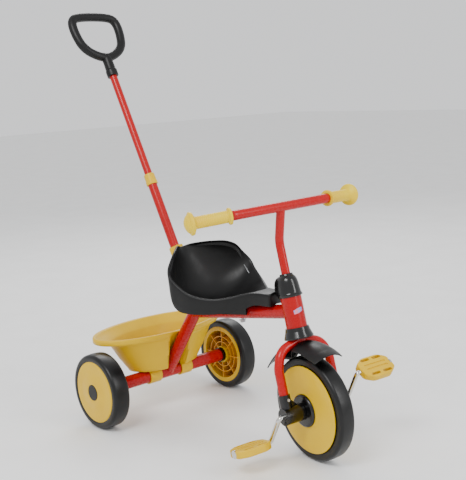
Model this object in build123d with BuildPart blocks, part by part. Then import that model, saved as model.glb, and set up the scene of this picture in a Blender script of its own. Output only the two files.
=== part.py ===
from build123d import *
import math
import os

os.makedirs("parts", exist_ok=True)

# ------------------------------------------------------------------ driving dimensions, mm
# X forward, Y to the rider's left, Z up; drawn from the ground point under the rear axle.
rear_wheel_radius = 90.0
front_wheel_radius = 112.5
wheelbase = 509.0
rear_track = 397.0          # between the middles of the rear tyres
head_rake = 13.3            # the steering axis leans back, degrees
steer_rest = -8.4           # the fork stands turned a little to the right
fork_offset = 2.6           # wheel centre ahead of the steering axis
bar_height = 427.5          # handlebar above the front axle, along the steering axis
bar_reach = 31.7            # handlebar ahead of the steering axis
running_gap = 0.05          # radial play of a shaft in its bush
part_gap = 0.3              # air between pieces that pass each other
moving_gap = 0.6            # air beside a turning wheel

# frame tubes
frame_tube_radius = 15.3
tube_wall = 1.6
bend_x = 125.0
bend_z = 262.0
main_rise = 8.57            # main tube climbs towards the head tube, degrees
axle_tube_radius = 16.0
axle_radius = 5.0
head_tube_radius = 22.5
head_tube_wall = 2.5
head_tube_low = 168.0       # along the steering axis, from the front axle
head_tube_high = 238.0

# steering column and fork
steerer_radius = 12.7
stem_radius = 9.5
fork_leg_radius = 10.0
fork_half_width = 67.0
fork_leg_end = 20.0
fender_radius = 144.0       # top of the mudguard, from the wheel's middle
fender_saddle = 129.5       # floor of the channel where the fork crosses the mudguard
crown_high = 149.0          # the head collar's skirt ends above this

# front wheel and cranks
front_tyre_width = 38.0
front_rim_radius = 94.0
front_face = 22.4           # rim flange face from the wheel's middle
hub_flange_radius = 35.6
hub_flange_face = 34.2
crank_radius = 5.0
crank_length = 64.0
crank_lean = 26.0           # right crank points down and this far back, degrees
crank_bend_y = 92.0
pedal_inner_y = 106.0
pedal_length = 85.0
pedal_width = 58.0
pedal_height = 16.5
pedal_pocket = 5.0          # the push nut sits this deep in the pedal's outer end
pedal_tilt_right = -11.5
pedal_tilt_left = 28.5

# rear wheels
rear_tyre_width = 44.0
rear_rim_radius = 73.5
rear_face = 21.4
hub_cap_radius = 19.0
tread_crown = 120.0         # radius of the tread across its width
flange_lip = 3.0

# handlebar
bar_radius = 10.4
bar_half_straight = 117.8
grip_sweep = 16.4           # the ends sweep back, degrees
grip_length = 92.0
grip_radius = 12.3

# push bar
push_lean = 26.9
push_root_x = 136.0         # where the push bar's line meets the main tube
push_root_z = 264.0
push_low_radius = 11.2
push_top_radius = push_low_radius - 1.9
push_low_start = frame_tube_radius + 5.7  # along the push bar, from the main tube's line
push_low_end = 338.0
push_top_end = 640.0
push_overlap = 95.0
push_wall = 1.4
grip_top = 814.0            # top of the D-shaped handle, along the push bar
d_handle_radius = 11.0

# seat and bucket
seat_wall = 4.0
seat_bolt_x = 292.0
bolt_radius = 3.0
bucket_wall = 3.0
bucket_floor = 107.0
bucket_shelf = 184.0        # where the tub's wall turns out into its brim
bucket_top = 204.5
bucket_lip = 15.0           # depth of the brim's turned-down edge
bucket_brim_half = (92.0, 184.0)
bucket_brim_middle = -33.0
tip_clip_y = 48.0
tip_clip_width = 34.0

# ------------------------------------------------------------------ reference planes
main_angle = math.radians(main_rise)
main_direction = Vector(math.cos(main_angle), 0, math.sin(main_angle))
bend_point = Vector(bend_x, 0, bend_z)
axle_point = Vector(0, 0, rear_wheel_radius)
strut_direction = (bend_point - axle_point).normalized()
strut_length = (bend_point - axle_point).length

rake = math.radians(head_rake)
head_up = Vector(-math.sin(rake), 0, math.cos(rake))
head_forward = Vector(math.cos(rake), 0, math.sin(rake))
wheel_centre = Vector(wheelbase, 0, front_wheel_radius)
head_origin = wheel_centre - head_forward * fork_offset
head_plane = Plane(origin=head_origin, x_dir=head_forward, z_dir=head_up)
turned_forward = head_forward.rotate(Axis((0, 0, 0), head_up), steer_rest)
steering_plane = Plane(origin=head_origin, x_dir=turned_forward, z_dir=head_up)

push_angle = math.radians(push_lean)
push_up = Vector(-math.sin(push_angle), 0, math.cos(push_angle))
push_plane = Plane(
    origin=(push_root_x, 0, push_root_z),
    x_dir=(math.cos(push_angle), 0, math.sin(push_angle)),
    z_dir=push_up,
)
main_plane = Plane(origin=bend_point, x_dir=(0, 1, 0), z_dir=main_direction)
strut_plane = Plane(origin=axle_point, x_dir=(0, 1, 0), z_dir=strut_direction)

head_x_low = head_origin.X - math.tan(rake) * (bend_z - front_wheel_radius)
main_length = (head_x_low - bend_x) / (math.cos(main_angle) + math.tan(rake) * math.sin(main_angle))

pieces = {}


def keep(name, part, place=None):
    """Puts a finished piece on the list, moved to its plane if it was drawn in a local frame."""
    pieces[name] = part if place is None else part.moved(place.location)


def tube_along(plane, radius, wall, start, end):
    with BuildPart() as tube:
        with BuildSketch(plane.offset(start)):
            Circle(radius)
            Circle(radius - wall, mode=Mode.SUBTRACT)
        extrude(amount=end - start)
    return tube.part


def rod_along(plane, radius, start, end):
    with BuildPart() as rod:
        with BuildSketch(plane.offset(start)):
            Circle(radius)
        extrude(amount=end - start)
    return rod.part


def side_plane(side, y=0.0, x=0.0, z=0.0):
    """A plane across Y whose normal points outwards on the given side."""
    return Plane(origin=(x, side * y, z), x_dir=(1, 0, 0), z_dir=(0, side, 0))


def main_tube_z(x):
    """Height of the main tube's centre line."""
    return bend_z + math.tan(main_angle) * (x - bend_x)


def seat_bolt_plane():
    """Across the main tube where the seat's bolt goes up through it."""
    return Plane(
        origin=(seat_bolt_x, 0, main_tube_z(seat_bolt_x)),
        z_dir=(-math.sin(main_angle), 0, math.cos(main_angle)),
    )


# ------------------------------------------------------------------ frame
def make_main_tube():
    mitre = Plane(origin=bend_point, z_dir=main_direction + strut_direction)
    head_hole = rod_along(head_plane, head_tube_radius, head_tube_low - 30, head_tube_high + 30)
    with BuildPart() as main_tube:
        add(tube_along(main_plane, frame_tube_radius, tube_wall, -frame_tube_radius, main_length))
        split(bisect_by=mitre, keep=Keep.TOP)
        add(head_hole, mode=Mode.SUBTRACT)
        add(rod_along(seat_bolt_plane(), bolt_radius, -40, 40), mode=Mode.SUBTRACT)
    return main_tube.part


def make_rear_strut():
    mitre = Plane(origin=bend_point, z_dir=main_direction + strut_direction)
    axle_hole = rod_along(side_plane(1, -40, 0, rear_wheel_radius), axle_tube_radius, 0, 80)
    with BuildPart() as rear_strut:
        add(tube_along(strut_plane, frame_tube_radius, tube_wall, 0, strut_length + frame_tube_radius))
        split(bisect_by=mitre, keep=Keep.BOTTOM)
        add(axle_hole, mode=Mode.SUBTRACT)
    return rear_strut.part


axle_tube_half = 168.0
wheel_inner_face = rear_track / 2 - rear_face
nut_grip = 2.8              # depth of a push nut's bore
nut_pocket = 3.0            # the rear wheel's nut sits this far inside its outer face
axle_half = rear_track / 2 + rear_face - nut_pocket + part_gap + nut_grip


def make_axle_tube():
    plane = side_plane(1, -axle_tube_half, 0, rear_wheel_radius)
    return tube_along(plane, axle_tube_radius, tube_wall, 0, 2 * axle_tube_half)


def make_axle_bush(side):
    """Flanged plastic plug that centres the axle in the end of its tube."""
    plane = side_plane(side, axle_tube_half, 0, rear_wheel_radius)
    with BuildPart() as bush:
        with BuildSketch(plane.offset(-18)):
            Circle(axle_tube_radius - tube_wall)
        extrude(amount=18)
        with BuildSketch(plane):
            Circle(axle_tube_radius + 2.5)
        extrude(amount=wheel_inner_face - axle_tube_half - moving_gap)
        with BuildSketch(plane.offset(-20)):
            Circle(axle_radius)
        extrude(amount=axle_half, mode=Mode.SUBTRACT)
    return bush.part


def make_rear_axle():
    return rod_along(side_plane(1, -axle_half, 0, rear_wheel_radius), axle_radius, 0, 2 * axle_half)


socket_radius = push_low_radius + 2.6
socket_end = 78.0


def make_push_socket():
    """Sleeve welded on top of the bend; the push bar drops into it."""
    floor = push_low_start - part_gap
    hidden = rod_along(main_plane, frame_tube_radius, -60, 120)
    with BuildPart() as socket:
        with BuildSketch(push_plane.offset(4)):
            Circle(socket_radius)
        extrude(amount=socket_end - 4)
        with BuildSketch(push_plane.offset(floor)):
            Circle(push_low_radius + running_gap)
        extrude(amount=socket_end, mode=Mode.SUBTRACT)
        add(hidden, mode=Mode.SUBTRACT)
    return socket.part


def make_head_bush(low, high, flange_at, flange_to):
    with BuildPart() as bush:
        with BuildSketch(head_plane.offset(low)):
            Circle(head_tube_radius - head_tube_wall)
        extrude(amount=high - low)
        with BuildSketch(head_plane.offset(flange_at)):
            Circle(head_tube_radius)
        extrude(amount=flange_to - flange_at)
        with BuildSketch(head_plane.offset(low - 10)):
            Circle(steerer_radius + running_gap)
        extrude(amount=high - low + 30, mode=Mode.SUBTRACT)
    return bush.part


bush_flange = 2.0
cap_low = head_tube_high + bush_flange
cap_high = 287.0
collar_top = head_tube_low - bush_flange
collar_low = crown_high + 1.0


def make_head_cap():
    """Domed cover on top of the head tube, with a rounded lobe towards the seat."""
    with BuildPart() as cap:
        with BuildSketch(head_plane.offset(cap_low)):
            Circle(25.5)
        extrude(amount=4)
        with BuildSketch(head_plane.offset(cap_low + 3)):
            Circle(24)
            with Locations((-18, 0)):
                Circle(22)
            make_hull()
        extrude(amount=cap_high - cap_low - 3, taper=7)
        fillet(cap.faces().sort_by(Axis(head_origin, head_up))[-1].edges(), 13)
        with BuildSketch(head_plane.offset(cap_high - 8)):
            Circle(14.5)
        extrude(amount=10)
        with BuildSketch(head_plane.offset(cap_low - 5)):
            Circle(steerer_radius + 1.5)
        extrude(amount=cap_high - cap_low - 2, mode=Mode.SUBTRACT)
        with BuildSketch(head_plane.offset(cap_low)):
            Circle(stem_radius + 1)
        extrude(amount=80, mode=Mode.SUBTRACT)
    return cap.part


def make_head_collar():
    """Flared skirt under the head tube that hides the lower bearing."""
    with BuildPart() as collar:
        with BuildSketch(Plane.XZ) as profile:
            with BuildLine():
                Polyline(
                    (head_tube_radius + part_gap, head_tube_low + 5),
                    (head_tube_radius + 2.8, head_tube_low + 5),
                    (head_tube_radius + 4.5, head_tube_low - 3),
                    (31.5, collar_low + 2.5),
                    (31.5, collar_low),
                    (28.5, collar_low),
                    (head_tube_radius + part_gap, collar_top),
                    close=True,
                )
            make_face()
        revolve(axis=Axis.Z)
    return collar.part.moved(head_plane.location)


# ------------------------------------------------------------------ rear wheels
def make_tyre(radius, width, foot):
    """Tyre turned about Y: crowned tread, rounded shoulders, and a foot given as (radius, y) points."""
    half = width / 2
    shoulder = radius - (tread_crown - math.sqrt(tread_crown**2 - half**2))
    inner = [*foot, *[(r, -y) for r, y in reversed(foot)]]
    with BuildPart() as tyre:
        with BuildSketch(Plane.XY) as section:
            with BuildLine():
                tread = ThreePointArc((shoulder, -half), (radius, 0), (shoulder, half))
                Polyline(tread @ 1, *inner, tread @ 0)
            make_face()
            fillet(section.vertices().sort_by(Axis.X)[-2:], 6)
        revolve(axis=Axis.Y)
    return tyre.part


rear_seat_radius = 66.0
rear_bore = axle_radius + running_gap
rear_rib_count = 8
rear_boss_radius = 22.0


def make_rear_disc():
    """Moulded wheel centre drawn with its outer face towards -Y: a closed face outside, ribs inside."""
    half = rear_face
    with BuildPart() as disc:
        with BuildSketch(Plane.XY):
            with BuildLine():
                hub = Polyline(
                    (rear_bore, -half + nut_pocket),
                    (axle_radius + 6, -half + nut_pocket),
                    (axle_radius + 6, -half - 1.4),
                    (hub_cap_radius + running_gap, -half - 1.4),
                    (hub_cap_radius + running_gap, -half - 4),
                    (hub_cap_radius + 6, -half - 4),
                )
                ThreePointArc(hub @ 1, (47, -half - 1), (rear_rim_radius - 7, -half - 0.6))
                Polyline(
                    (rear_rim_radius - 7, -half - 0.6),
                    (rear_rim_radius - 1.5, -half),
                    (rear_rim_radius, -half + 1.2),
                    (rear_rim_radius, -half + flange_lip),
                    (rear_seat_radius, -half + flange_lip),
                    (rear_seat_radius, half - flange_lip),
                    (rear_rim_radius, half - flange_lip),
                    (rear_rim_radius, half),
                    (rear_seat_radius - 3.5, half),
                    (rear_seat_radius - 3.5, -half + 2.5),
                    (rear_boss_radius, -half + 2.5),
                    (rear_boss_radius, half),
                    (rear_bore, half),
                    (rear_bore, -half + nut_pocket),
                )
            make_face()
        revolve(axis=Axis.Y)
        with BuildSketch(Plane.XZ.offset(-half + 5)):
            with PolarLocations(0, rear_rib_count):
                with Locations(((rear_boss_radius + rear_seat_radius) / 2 - 2, 0)):
                    Rectangle(rear_seat_radius - rear_boss_radius, 2.6)
            for ring_radius in (34.0, 48.0):
                Circle(ring_radius)
                Circle(ring_radius - 2.6, mode=Mode.SUBTRACT)
        extrude(amount=2 * half - 7.6)
    return disc.part


def make_hub_cap():
    """Round cap pressed into the wheel's outer recess, over the push nut."""
    with BuildPart() as cap:
        with BuildSketch(Plane.XZ.offset(rear_face + 1.5)):
            Circle(hub_cap_radius)
        extrude(amount=3.2)
        fillet(cap.faces().sort_by(Axis.Y)[0].edges(), 1.2)
        with BuildSketch(Plane.XZ.offset(rear_face)):
            Circle(9)
        extrude(amount=3, mode=Mode.SUBTRACT)
    return cap.part


def push_nuts(places, radius):
    """Pressed-on caps that hold a wheel or pedal on the end of its rod."""
    with BuildPart() as nuts:
        for place in places:
            with BuildSketch(place):
                Circle(radius + 4)
            extrude(amount=nut_grip + 1.2)
            with BuildSketch(place.offset(-1)):
                Circle(radius)
            extrude(amount=nut_grip + 1, mode=Mode.SUBTRACT)
    return nuts.part


# ------------------------------------------------------------------ front wheel, cranks and pedals
front_seat_radius = 88.0
front_web = 26.0            # middle of the disc stands this far from the wheel's middle
crank_angle = math.radians(crank_lean)
crank_x = crank_length * math.sin(crank_angle)
crank_z = crank_length * math.cos(crank_angle)


def turned(vector):
    return Vector(*vector).rotate(Axis((0, 0, 0), tuple(head_up)), steer_rest)


axle_centre = head_origin + turned_forward * fork_offset
axle_plane = Plane(origin=axle_centre, x_dir=turned((1, 0, 0)), z_dir=turned((0, 0, 1)))


def make_front_disc(side):
    """One half of the moulded wheel centre; the two halves meet in the middle of the wheel."""
    y = [0, side * front_web, side * front_face, side * (front_tyre_width / 2 + 0.1)]
    with BuildPart() as disc:
        with BuildSketch(Plane.XY):
            with BuildLine():
                Polyline(
                    (crank_radius + running_gap, y[0]),
                    (crank_radius + running_gap, y[1]),
                    (hub_flange_radius + 4, y[1]),
                    (front_rim_radius - 8, y[2] + side * 0.8),
                    (front_rim_radius - 1.5, y[2]),
                    (front_rim_radius, y[2] - side * 1.2),
                    (front_rim_radius, y[3]),
                    (front_seat_radius, y[3]),
                    (front_seat_radius, y[0]),
                    (front_seat_radius - 3, y[0]),
                    (front_seat_radius - 3, y[2] - side * 2.2),
                    (hub_flange_radius + 4, y[1] - side * 3),
                    (18, y[1] - side * 3),
                    (14, y[0]),
                    close=True,
                )
            make_face()
        revolve(axis=Axis.Y)
    return disc.part


def make_hub_flange(side):
    with BuildPart() as flange:
        with BuildSketch(side_plane(side, front_web)):
            Circle(hub_flange_radius)
            Circle(crank_radius + running_gap, mode=Mode.SUBTRACT)
        extrude(amount=hub_flange_face - front_web, taper=8)
    return flange.part


def make_crank_axle():
    """One bent rod: pedal pin, arm, front axle, arm and pedal pin."""
    pin_end = pedal_inner_y + pedal_length - pedal_pocket + part_gap + nut_grip
    half = [
        (crank_x, pin_end, crank_z),
        (crank_x, pedal_inner_y - 8, crank_z),
        (0, crank_bend_y, 0),
    ]
    other = [(-x, -y, -z) for x, y, z in reversed(half)]
    with BuildPart() as crank:
        with BuildLine() as route:
            FilletPolyline(*half, *other, radius=8)
        start = Plane(origin=half[0], z_dir=(0, -1, 0))
        with BuildSketch(start):
            Circle(crank_radius)
        sweep(path=route.wires()[0])
    return crank.part


def make_pedal(side, tilt):
    """Block pedal around its pin: bevelled corners, lightening slots and a central barrel."""
    angle = math.radians(tilt)
    middle = Vector(side * crank_x, side * (pedal_inner_y + pedal_length / 2), side * crank_z)
    plane = Plane(
        origin=middle,
        x_dir=(math.cos(angle), 0, -math.sin(angle)),
        z_dir=(math.sin(angle), 0, math.cos(angle)),
    )
    with BuildPart() as pedal:
        with BuildSketch(Plane.XY.offset(-pedal_height / 2)) as outline:
            Rectangle(pedal_width, pedal_length)
            chamfer(outline.vertices(), length=13, length2=20)
            fillet(outline.vertices(), 5)
        extrude(amount=pedal_height)
        fillet(pedal.faces().filter_by(Axis.Z).edges(), 3)
        with BuildSketch(Plane.XY.offset(-pedal_height)):
            with GridLocations(15, 32, 1, 2):
                for offset_x in (-20.5, 20.5):
                    with Locations((offset_x, 0)):
                        SlotOverall(24, 7, rotation=90)
        extrude(amount=2 * pedal_height, mode=Mode.SUBTRACT)
        with BuildSketch(Plane.XZ.offset(-pedal_length)):
            Circle(crank_radius + running_gap)
        extrude(amount=2 * pedal_length, mode=Mode.SUBTRACT)
        with BuildSketch(side_plane(side, pedal_length / 2 - pedal_pocket)):
            Circle(crank_radius + 5)
        extrude(amount=20, mode=Mode.SUBTRACT)
    return pedal.part.moved(plane.location)


# ------------------------------------------------------------------ fork
boot_radius = 12.6
boot_top = 44.0
barrel_radius = 18.0
barrel_in = hub_flange_face + moving_gap
barrel_out = 81.0
crank_bush_radius = 9.0
crown_low = fender_saddle + 0.5
fender_half_width = 38.0
fender_channel = 13.2
fender_edge_drop = 14.0
fender_wall = 2.4
fender_front = 40.0         # the mudguard reaches this far round the wheel in front
fender_rear = 45.0


def make_fork_crown():
    with BuildPart() as crown:
        with BuildSketch(Plane.XY.offset(crown_low)):
            Circle(steerer_radius)
        extrude(amount=268 - crown_low)
        with BuildSketch(Plane.XY.offset(crown_low + 36)):
            Circle(stem_radius + running_gap)
        extrude(amount=140, mode=Mode.SUBTRACT)
        with BuildSketch(Plane.XY.offset(crown_low - 1)):
            Circle(3 + running_gap)
        extrude(amount=16, mode=Mode.SUBTRACT)
    return crown.part


def make_fork_leg(side):
    with BuildPart() as leg:
        with BuildLine() as route:
            FilletPolyline(
                (0, side * 8, 145.5),
                (0, side * 54, 132),
                (0, side * fork_half_width, 96),
                (0, side * fork_half_width, fork_leg_end),
                radius=36,
            )
        with BuildSketch(Plane(origin=route.line @ 0, z_dir=route.line % 0)):
            Circle(fork_leg_radius)
            Circle(fork_leg_radius - tube_wall, mode=Mode.SUBTRACT)
        sweep(path=route.wires()[0])
        with BuildSketch(Plane.XY.offset(100)):
            Circle(steerer_radius)
        extrude(amount=80, mode=Mode.SUBTRACT)
        split(bisect_by=Plane.XZ, keep=Keep.TOP if side < 0 else Keep.BOTTOM)
    return leg.part


def screw_plane(side):
    return Plane(origin=(boot_radius + running_gap, side * fork_half_width, 33), z_dir=(1, 0, 0))


def make_fork_boot(side):
    """Bearing housing pushed over the end of a fork leg, with a barrel towards the wheel."""
    along = side_plane(side, 0, fork_offset, 0)
    with BuildPart() as boot:
        with BuildSketch(Plane.XY):
            with Locations((0, side * fork_half_width)):
                Circle(boot_radius)
        extrude(amount=boot_top)
        with BuildSketch(along.offset(barrel_in)):
            Circle(barrel_radius)
        extrude(amount=barrel_out - barrel_in)
        with BuildSketch(Plane.YZ.offset(-4)):
            Polygon(
                (side * (barrel_in + 3), 14),
                (side * (fork_half_width - 4), 40),
                (side * (fork_half_width - 4), 14),
                align=None,
            )
        extrude(amount=8)
        with BuildSketch(Plane.XY.offset(fork_leg_end - part_gap)):
            with Locations((0, side * fork_half_width)):
                Circle(fork_leg_radius + running_gap)
        extrude(amount=40, mode=Mode.SUBTRACT)
        with BuildSketch(along.offset(barrel_in - 5)):
            Circle(crank_bush_radius)
        extrude(amount=60, mode=Mode.SUBTRACT)
        with BuildSketch(screw_plane(side).offset(-3)):
            Circle(1.6 + running_gap)
        extrude(amount=10, mode=Mode.SUBTRACT)
    return boot.part


def make_crank_bush(side):
    with BuildPart() as bush:
        with BuildSketch(side_plane(side, barrel_in, fork_offset, 0)):
            Circle(crank_bush_radius)
            Circle(crank_radius + running_gap, mode=Mode.SUBTRACT)
        extrude(amount=barrel_out - barrel_in)
    return bush.part


def make_fork_screws():
    with BuildPart() as screws:
        for side in (-1, 1):
            with BuildSketch(screw_plane(side)):
                Circle(3.2)
            extrude(amount=2)
            with BuildSketch(screw_plane(side).offset(-1.8)):
                Circle(1.6)
            extrude(amount=1.8)
    return screws.part


def fender_band(radius, start, sweep_by):
    """Bowed band turned about the wheel's axis, from a start angle measured off the steering axis."""
    angle = math.radians(start)
    plane = Plane(
        origin=(fork_offset, 0, 0),
        x_dir=(0, 1, 0),
        z_dir=(math.cos(angle), 0, -math.sin(angle)),
    )
    with BuildPart() as band:
        with BuildSketch(plane):
            with BuildLine():
                crown = fender_arc(radius)
                under = fender_arc(radius - fender_wall)
                Line(crown @ 0, under @ 0)
                Line(crown @ 1, under @ 1)
            make_face()
        revolve(axis=Axis((fork_offset, 0, 0), (0, 1, 0)), revolution_arc=sweep_by)
    return band.part


def fender_arc(radius):
    edge = radius - fender_edge_drop
    return ThreePointArc((-fender_half_width, edge), (0, radius), (fender_half_width, edge))


def fender_turn(x, radius):
    """Angle round the wheel, in degrees, at which a band of this radius stands at x."""
    return math.degrees(math.asin((x - fork_offset) / radius))


def make_fender():
    """Mudguard over the front wheel, with a channel across its top where the fork sits."""
    wall_middle = fender_channel + fender_wall / 2
    saddle_back = fender_turn(-wall_middle, fender_saddle)
    saddle_front = fender_turn(wall_middle, fender_saddle)
    back_end = fender_turn(-wall_middle, fender_radius)
    front_start = fender_turn(wall_middle, fender_radius)
    with BuildPart() as fender:
        add(fender_band(fender_radius, -fender_rear, fender_rear + back_end))
        add(fender_band(fender_radius, front_start, fender_front - front_start))
        add(fender_band(fender_saddle, saddle_back, saddle_front - saddle_back))
        for x in (-fender_channel - fender_wall, fender_channel):
            with BuildSketch(Plane.YZ.offset(x)):
                with BuildLine():
                    high = fender_arc(fender_radius - fender_wall * 0.7)
                    low = fender_arc(fender_saddle - fender_wall * 0.9)
                    Line(high @ 0, low @ 0)
                    Line(high @ 1, low @ 1)
                make_face()
            extrude(amount=fender_wall)
        with BuildSketch(Plane.XY.offset(100)):
            Circle(3 + part_gap)
        extrude(amount=35, mode=Mode.SUBTRACT)
    return fender.part


def make_fender_screw():
    with BuildPart() as screw:
        with BuildSketch(Plane.XY.offset(fender_saddle - fender_wall - 3.4)):
            Circle(6)
        extrude(amount=3)
        with BuildSketch(Plane.XY.offset(fender_saddle - fender_wall - 1)):
            Circle(3)
        extrude(amount=15)
    return screw.part


# ------------------------------------------------------------------ handlebar
bar_middle = Vector(bar_reach, 0, bar_height)
sweep_angle = math.radians(grip_sweep)


def grip_plane(side):
    corner = bar_middle + Vector(0, side * bar_half_straight, 0)
    return Plane(origin=corner, z_dir=(-math.sin(sweep_angle), side * math.cos(sweep_angle), 0))


def make_handlebar_tube():
    ends = [grip_plane(side).origin + grip_plane(side).z_dir * (grip_length - 6) for side in (-1, 1)]
    corners = [grip_plane(side).origin for side in (-1, 1)]
    with BuildPart() as bar:
        with BuildLine() as route:
            FilletPolyline(ends[0], corners[0], corners[1], ends[1], radius=25)
        with BuildSketch(Plane(origin=route.line @ 0, z_dir=route.line % 0)):
            Circle(bar_radius)
            Circle(bar_radius - tube_wall, mode=Mode.SUBTRACT)
        sweep(path=route.wires()[0])
    return bar.part


def make_handlebar_stem():
    with BuildPart() as stem:
        with BuildLine() as route:
            FilletPolyline((0, 0, 182), (0, 0, 358), tuple(bar_middle), radius=60)
        with BuildSketch(Plane.XY.offset(182)):
            Circle(stem_radius)
            Circle(stem_radius - tube_wall, mode=Mode.SUBTRACT)
        sweep(path=route.wires()[0])
        with BuildSketch(Plane.XZ.offset(-60)):
            with Locations((bar_reach, bar_height)):
                Circle(bar_radius)
        extrude(amount=120, mode=Mode.SUBTRACT)
        split(bisect_by=Plane(origin=bar_middle, z_dir=(-0.4, 0, -1)), keep=Keep.TOP)
    return stem.part


def make_grip(side):
    """Sleeve with an inner flange and a stepped mushroom end, turned about the grip's axis."""
    with BuildPart() as grip:
        with BuildSketch(Plane.XZ):
            with BuildLine():
                dome = ThreePointArc((20, grip_length + 3), (15, grip_length + 8), (0, grip_length + 13))
                Polyline(
                    dome @ 1,
                    (0, grip_length - 5),
                    (bar_radius + running_gap, grip_length - 5),
                    (bar_radius + running_gap, 6),
                    (17.5, 6),
                    (17.5, 11),
                    (grip_radius, 12),
                    (grip_radius, grip_length - 12),
                    (15, grip_length - 9),
                    (24, grip_length - 5),
                    (24, grip_length + 0.5),
                    dome @ 0,
                )
            make_face()
        revolve(axis=Axis.Z)
    return grip.part.moved(grip_plane(side).location)


# ------------------------------------------------------------------ push bar
clamp_low = push_low_end - 8.0
clamp_high = clamp_low + 28.0
handle_low = push_top_end - 12.0
handle_ring_low = 682.0
handle_half_width = 66.0


def make_clamp_collar():
    """Sleeve on the mouth of the lower tube that grips the upper tube."""
    with BuildPart() as collar:
        with BuildSketch(push_plane.offset(clamp_low)):
            Circle(13.2)
        extrude(amount=clamp_high - clamp_low)
        fillet(collar.edges().filter_by(GeomType.CIRCLE), 1.5)
        with BuildSketch(push_plane.offset(clamp_low - 1)):
            Circle(push_low_radius + running_gap)
        extrude(amount=push_low_end - clamp_low + 1 + part_gap, mode=Mode.SUBTRACT)
        with BuildSketch(push_plane.offset(clamp_low)):
            Circle(push_top_radius + running_gap)
        extrude(amount=40, mode=Mode.SUBTRACT)
    return collar.part


def make_push_handle():
    """D-shaped handle: a closed grip ring on a socket that takes the end of the upper tube."""
    ring_plane = Plane(origin=push_plane.origin, x_dir=(0, 1, 0), z_dir=push_plane.x_dir)
    top = handle_ring_low + 113.0
    half = [
        (-15, handle_ring_low, 24),
        (-50, handle_ring_low + 19, 40),
        (-handle_half_width, handle_ring_low + 66, 40),
        (-handle_half_width + 3, handle_ring_low + 92, 36),
        (-42, top, 30),
    ]
    corners = half + [(-x, y, bend) for x, y, bend in reversed(half)]
    ring = [ring_plane.from_local_coords((x, y, 0)) for x, y, bend in corners]
    with BuildPart() as handle:
        with BuildLine() as route:
            FilletPolyline(*ring, radius=[bend for x, y, bend in corners], close=True)
        start = route.line @ 0
        with BuildSketch(Plane(origin=start, z_dir=route.line % 0)):
            Circle(d_handle_radius)
        sweep(path=route.wires()[0])
        with BuildSketch(push_plane.offset(handle_low)):
            Circle(13)
        extrude(amount=handle_ring_low - handle_low, taper=1)
        with BuildSketch(push_plane.offset(handle_low)):
            Circle(push_top_radius + running_gap)
        extrude(amount=push_top_end - handle_low + part_gap, mode=Mode.SUBTRACT)
    return handle.part


bar_clip_at = (push_root_x - 65) / math.sin(push_angle)


def make_bar_clip():
    """Clip on the back of the seat that steadies the push bar."""
    with BuildPart() as clip:
        with BuildSketch(push_plane.offset(bar_clip_at - 8)):
            Circle(push_low_radius + part_gap + 3.5)
            with Locations((12, 0)):
                Rectangle(14, 18)
            Circle(push_low_radius + part_gap, mode=Mode.SUBTRACT)
            with Locations((-14, 0)):
                Rectangle(14, 12, mode=Mode.SUBTRACT)
        extrude(amount=16)
    return clip.part


# ------------------------------------------------------------------ seat
# Sections from the nose to the top of the back: spine x and z, half width, height of the rim
# above the spine, and how far the section leans forward, in degrees.
seat_sections = [
    (410, 350, 21, -3.5, 0),
    (352, 344, 27, -2.0, 0),
    (318, 327, 54, 9, 0),
    (285, 308, 83, 22, 0),
    (245, 297, 106, 42, 0),
    (205, 294, 116, 66, 5),
    (176, 300, 119, 80, 13),
    (152, 316, 111, 85, 21),
    (132, 343, 94, 85, 31),
    (115, 374, 73, 68, 41),
    (100, 402, 47, 38, 50),
]


def seat_band(x, z, half, rise, lean):
    """Closed band between the seat's inner and outer arcs at one place along its spine."""
    angle = math.radians(lean)
    plane = Plane(
        origin=(x, 0, z),
        x_dir=(0, 1, 0),
        z_dir=(math.cos(angle), 0, -math.sin(angle)),
    )
    spread = 0.7 * seat_wall
    with BuildSketch(plane) as band:
        with BuildLine():
            inner = ThreePointArc((-half, rise), (0, 0), (half, rise))
            outer = ThreePointArc(
                (-half - spread, rise - spread),
                (0, -seat_wall),
                (half + spread, rise - spread),
            )
            Line(inner @ 0, outer @ 0)
            Line(inner @ 1, outer @ 1)
        make_face()
    return band.sketch


def make_seat():
    bolt = seat_bolt_plane()
    tube_space = rod_along(main_plane, frame_tube_radius + part_gap, -40, 400)
    socket_space = rod_along(push_plane, socket_radius + part_gap, 0, socket_end + 40)
    with BuildPart() as seat:
        for values in seat_sections:
            add(seat_band(*values))
        loft()
        for side in (-1, 1):
            with BuildSketch(side_plane(1, side * 19 - 2)):
                Polygon(
                    (176, -main_tube_z(176) + 4), (330, -main_tube_z(330) + 9), (330, -329), (318, -323),
                    (285, -306), (245, -295), (205, -292), (176, -298), align=None,
                )
            extrude(amount=4)
        with BuildSketch(bolt.offset(frame_tube_radius - 2)):
            Circle(9)
        extrude(amount=9)
        add(tube_space, mode=Mode.SUBTRACT)
        add(socket_space, mode=Mode.SUBTRACT)
        add(rod_along(bolt, bolt_radius + running_gap, -40, frame_tube_radius + 5), mode=Mode.SUBTRACT)
    return seat.part


# ------------------------------------------------------------------ bucket
def ellipse_at(z, middle, half_x, half_y):
    with BuildSketch(Plane.XY.offset(z)) as outline:
        with Locations((middle, 0)):
            Ellipse(half_x, half_y)
    return outline.sketch


def tub(inset, floor, top):
    """Solid of the tub from its floor to its brim, drawn in by an inset."""
    brim_x, brim_y = bucket_brim_half
    with BuildPart() as body:
        add(ellipse_at(floor, -18, 60 - inset, 100 - inset))
        add(ellipse_at(bucket_shelf + inset * 0.6, -19, 77 - inset, 149 - inset))
        loft()
        add(ellipse_at(bucket_shelf + inset * 0.6, -19, 77 - inset, 149 - inset))
        add(ellipse_at(top, bucket_brim_middle, brim_x - 2 - inset, brim_y - 2 - inset))
        loft()
    return body.part


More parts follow.
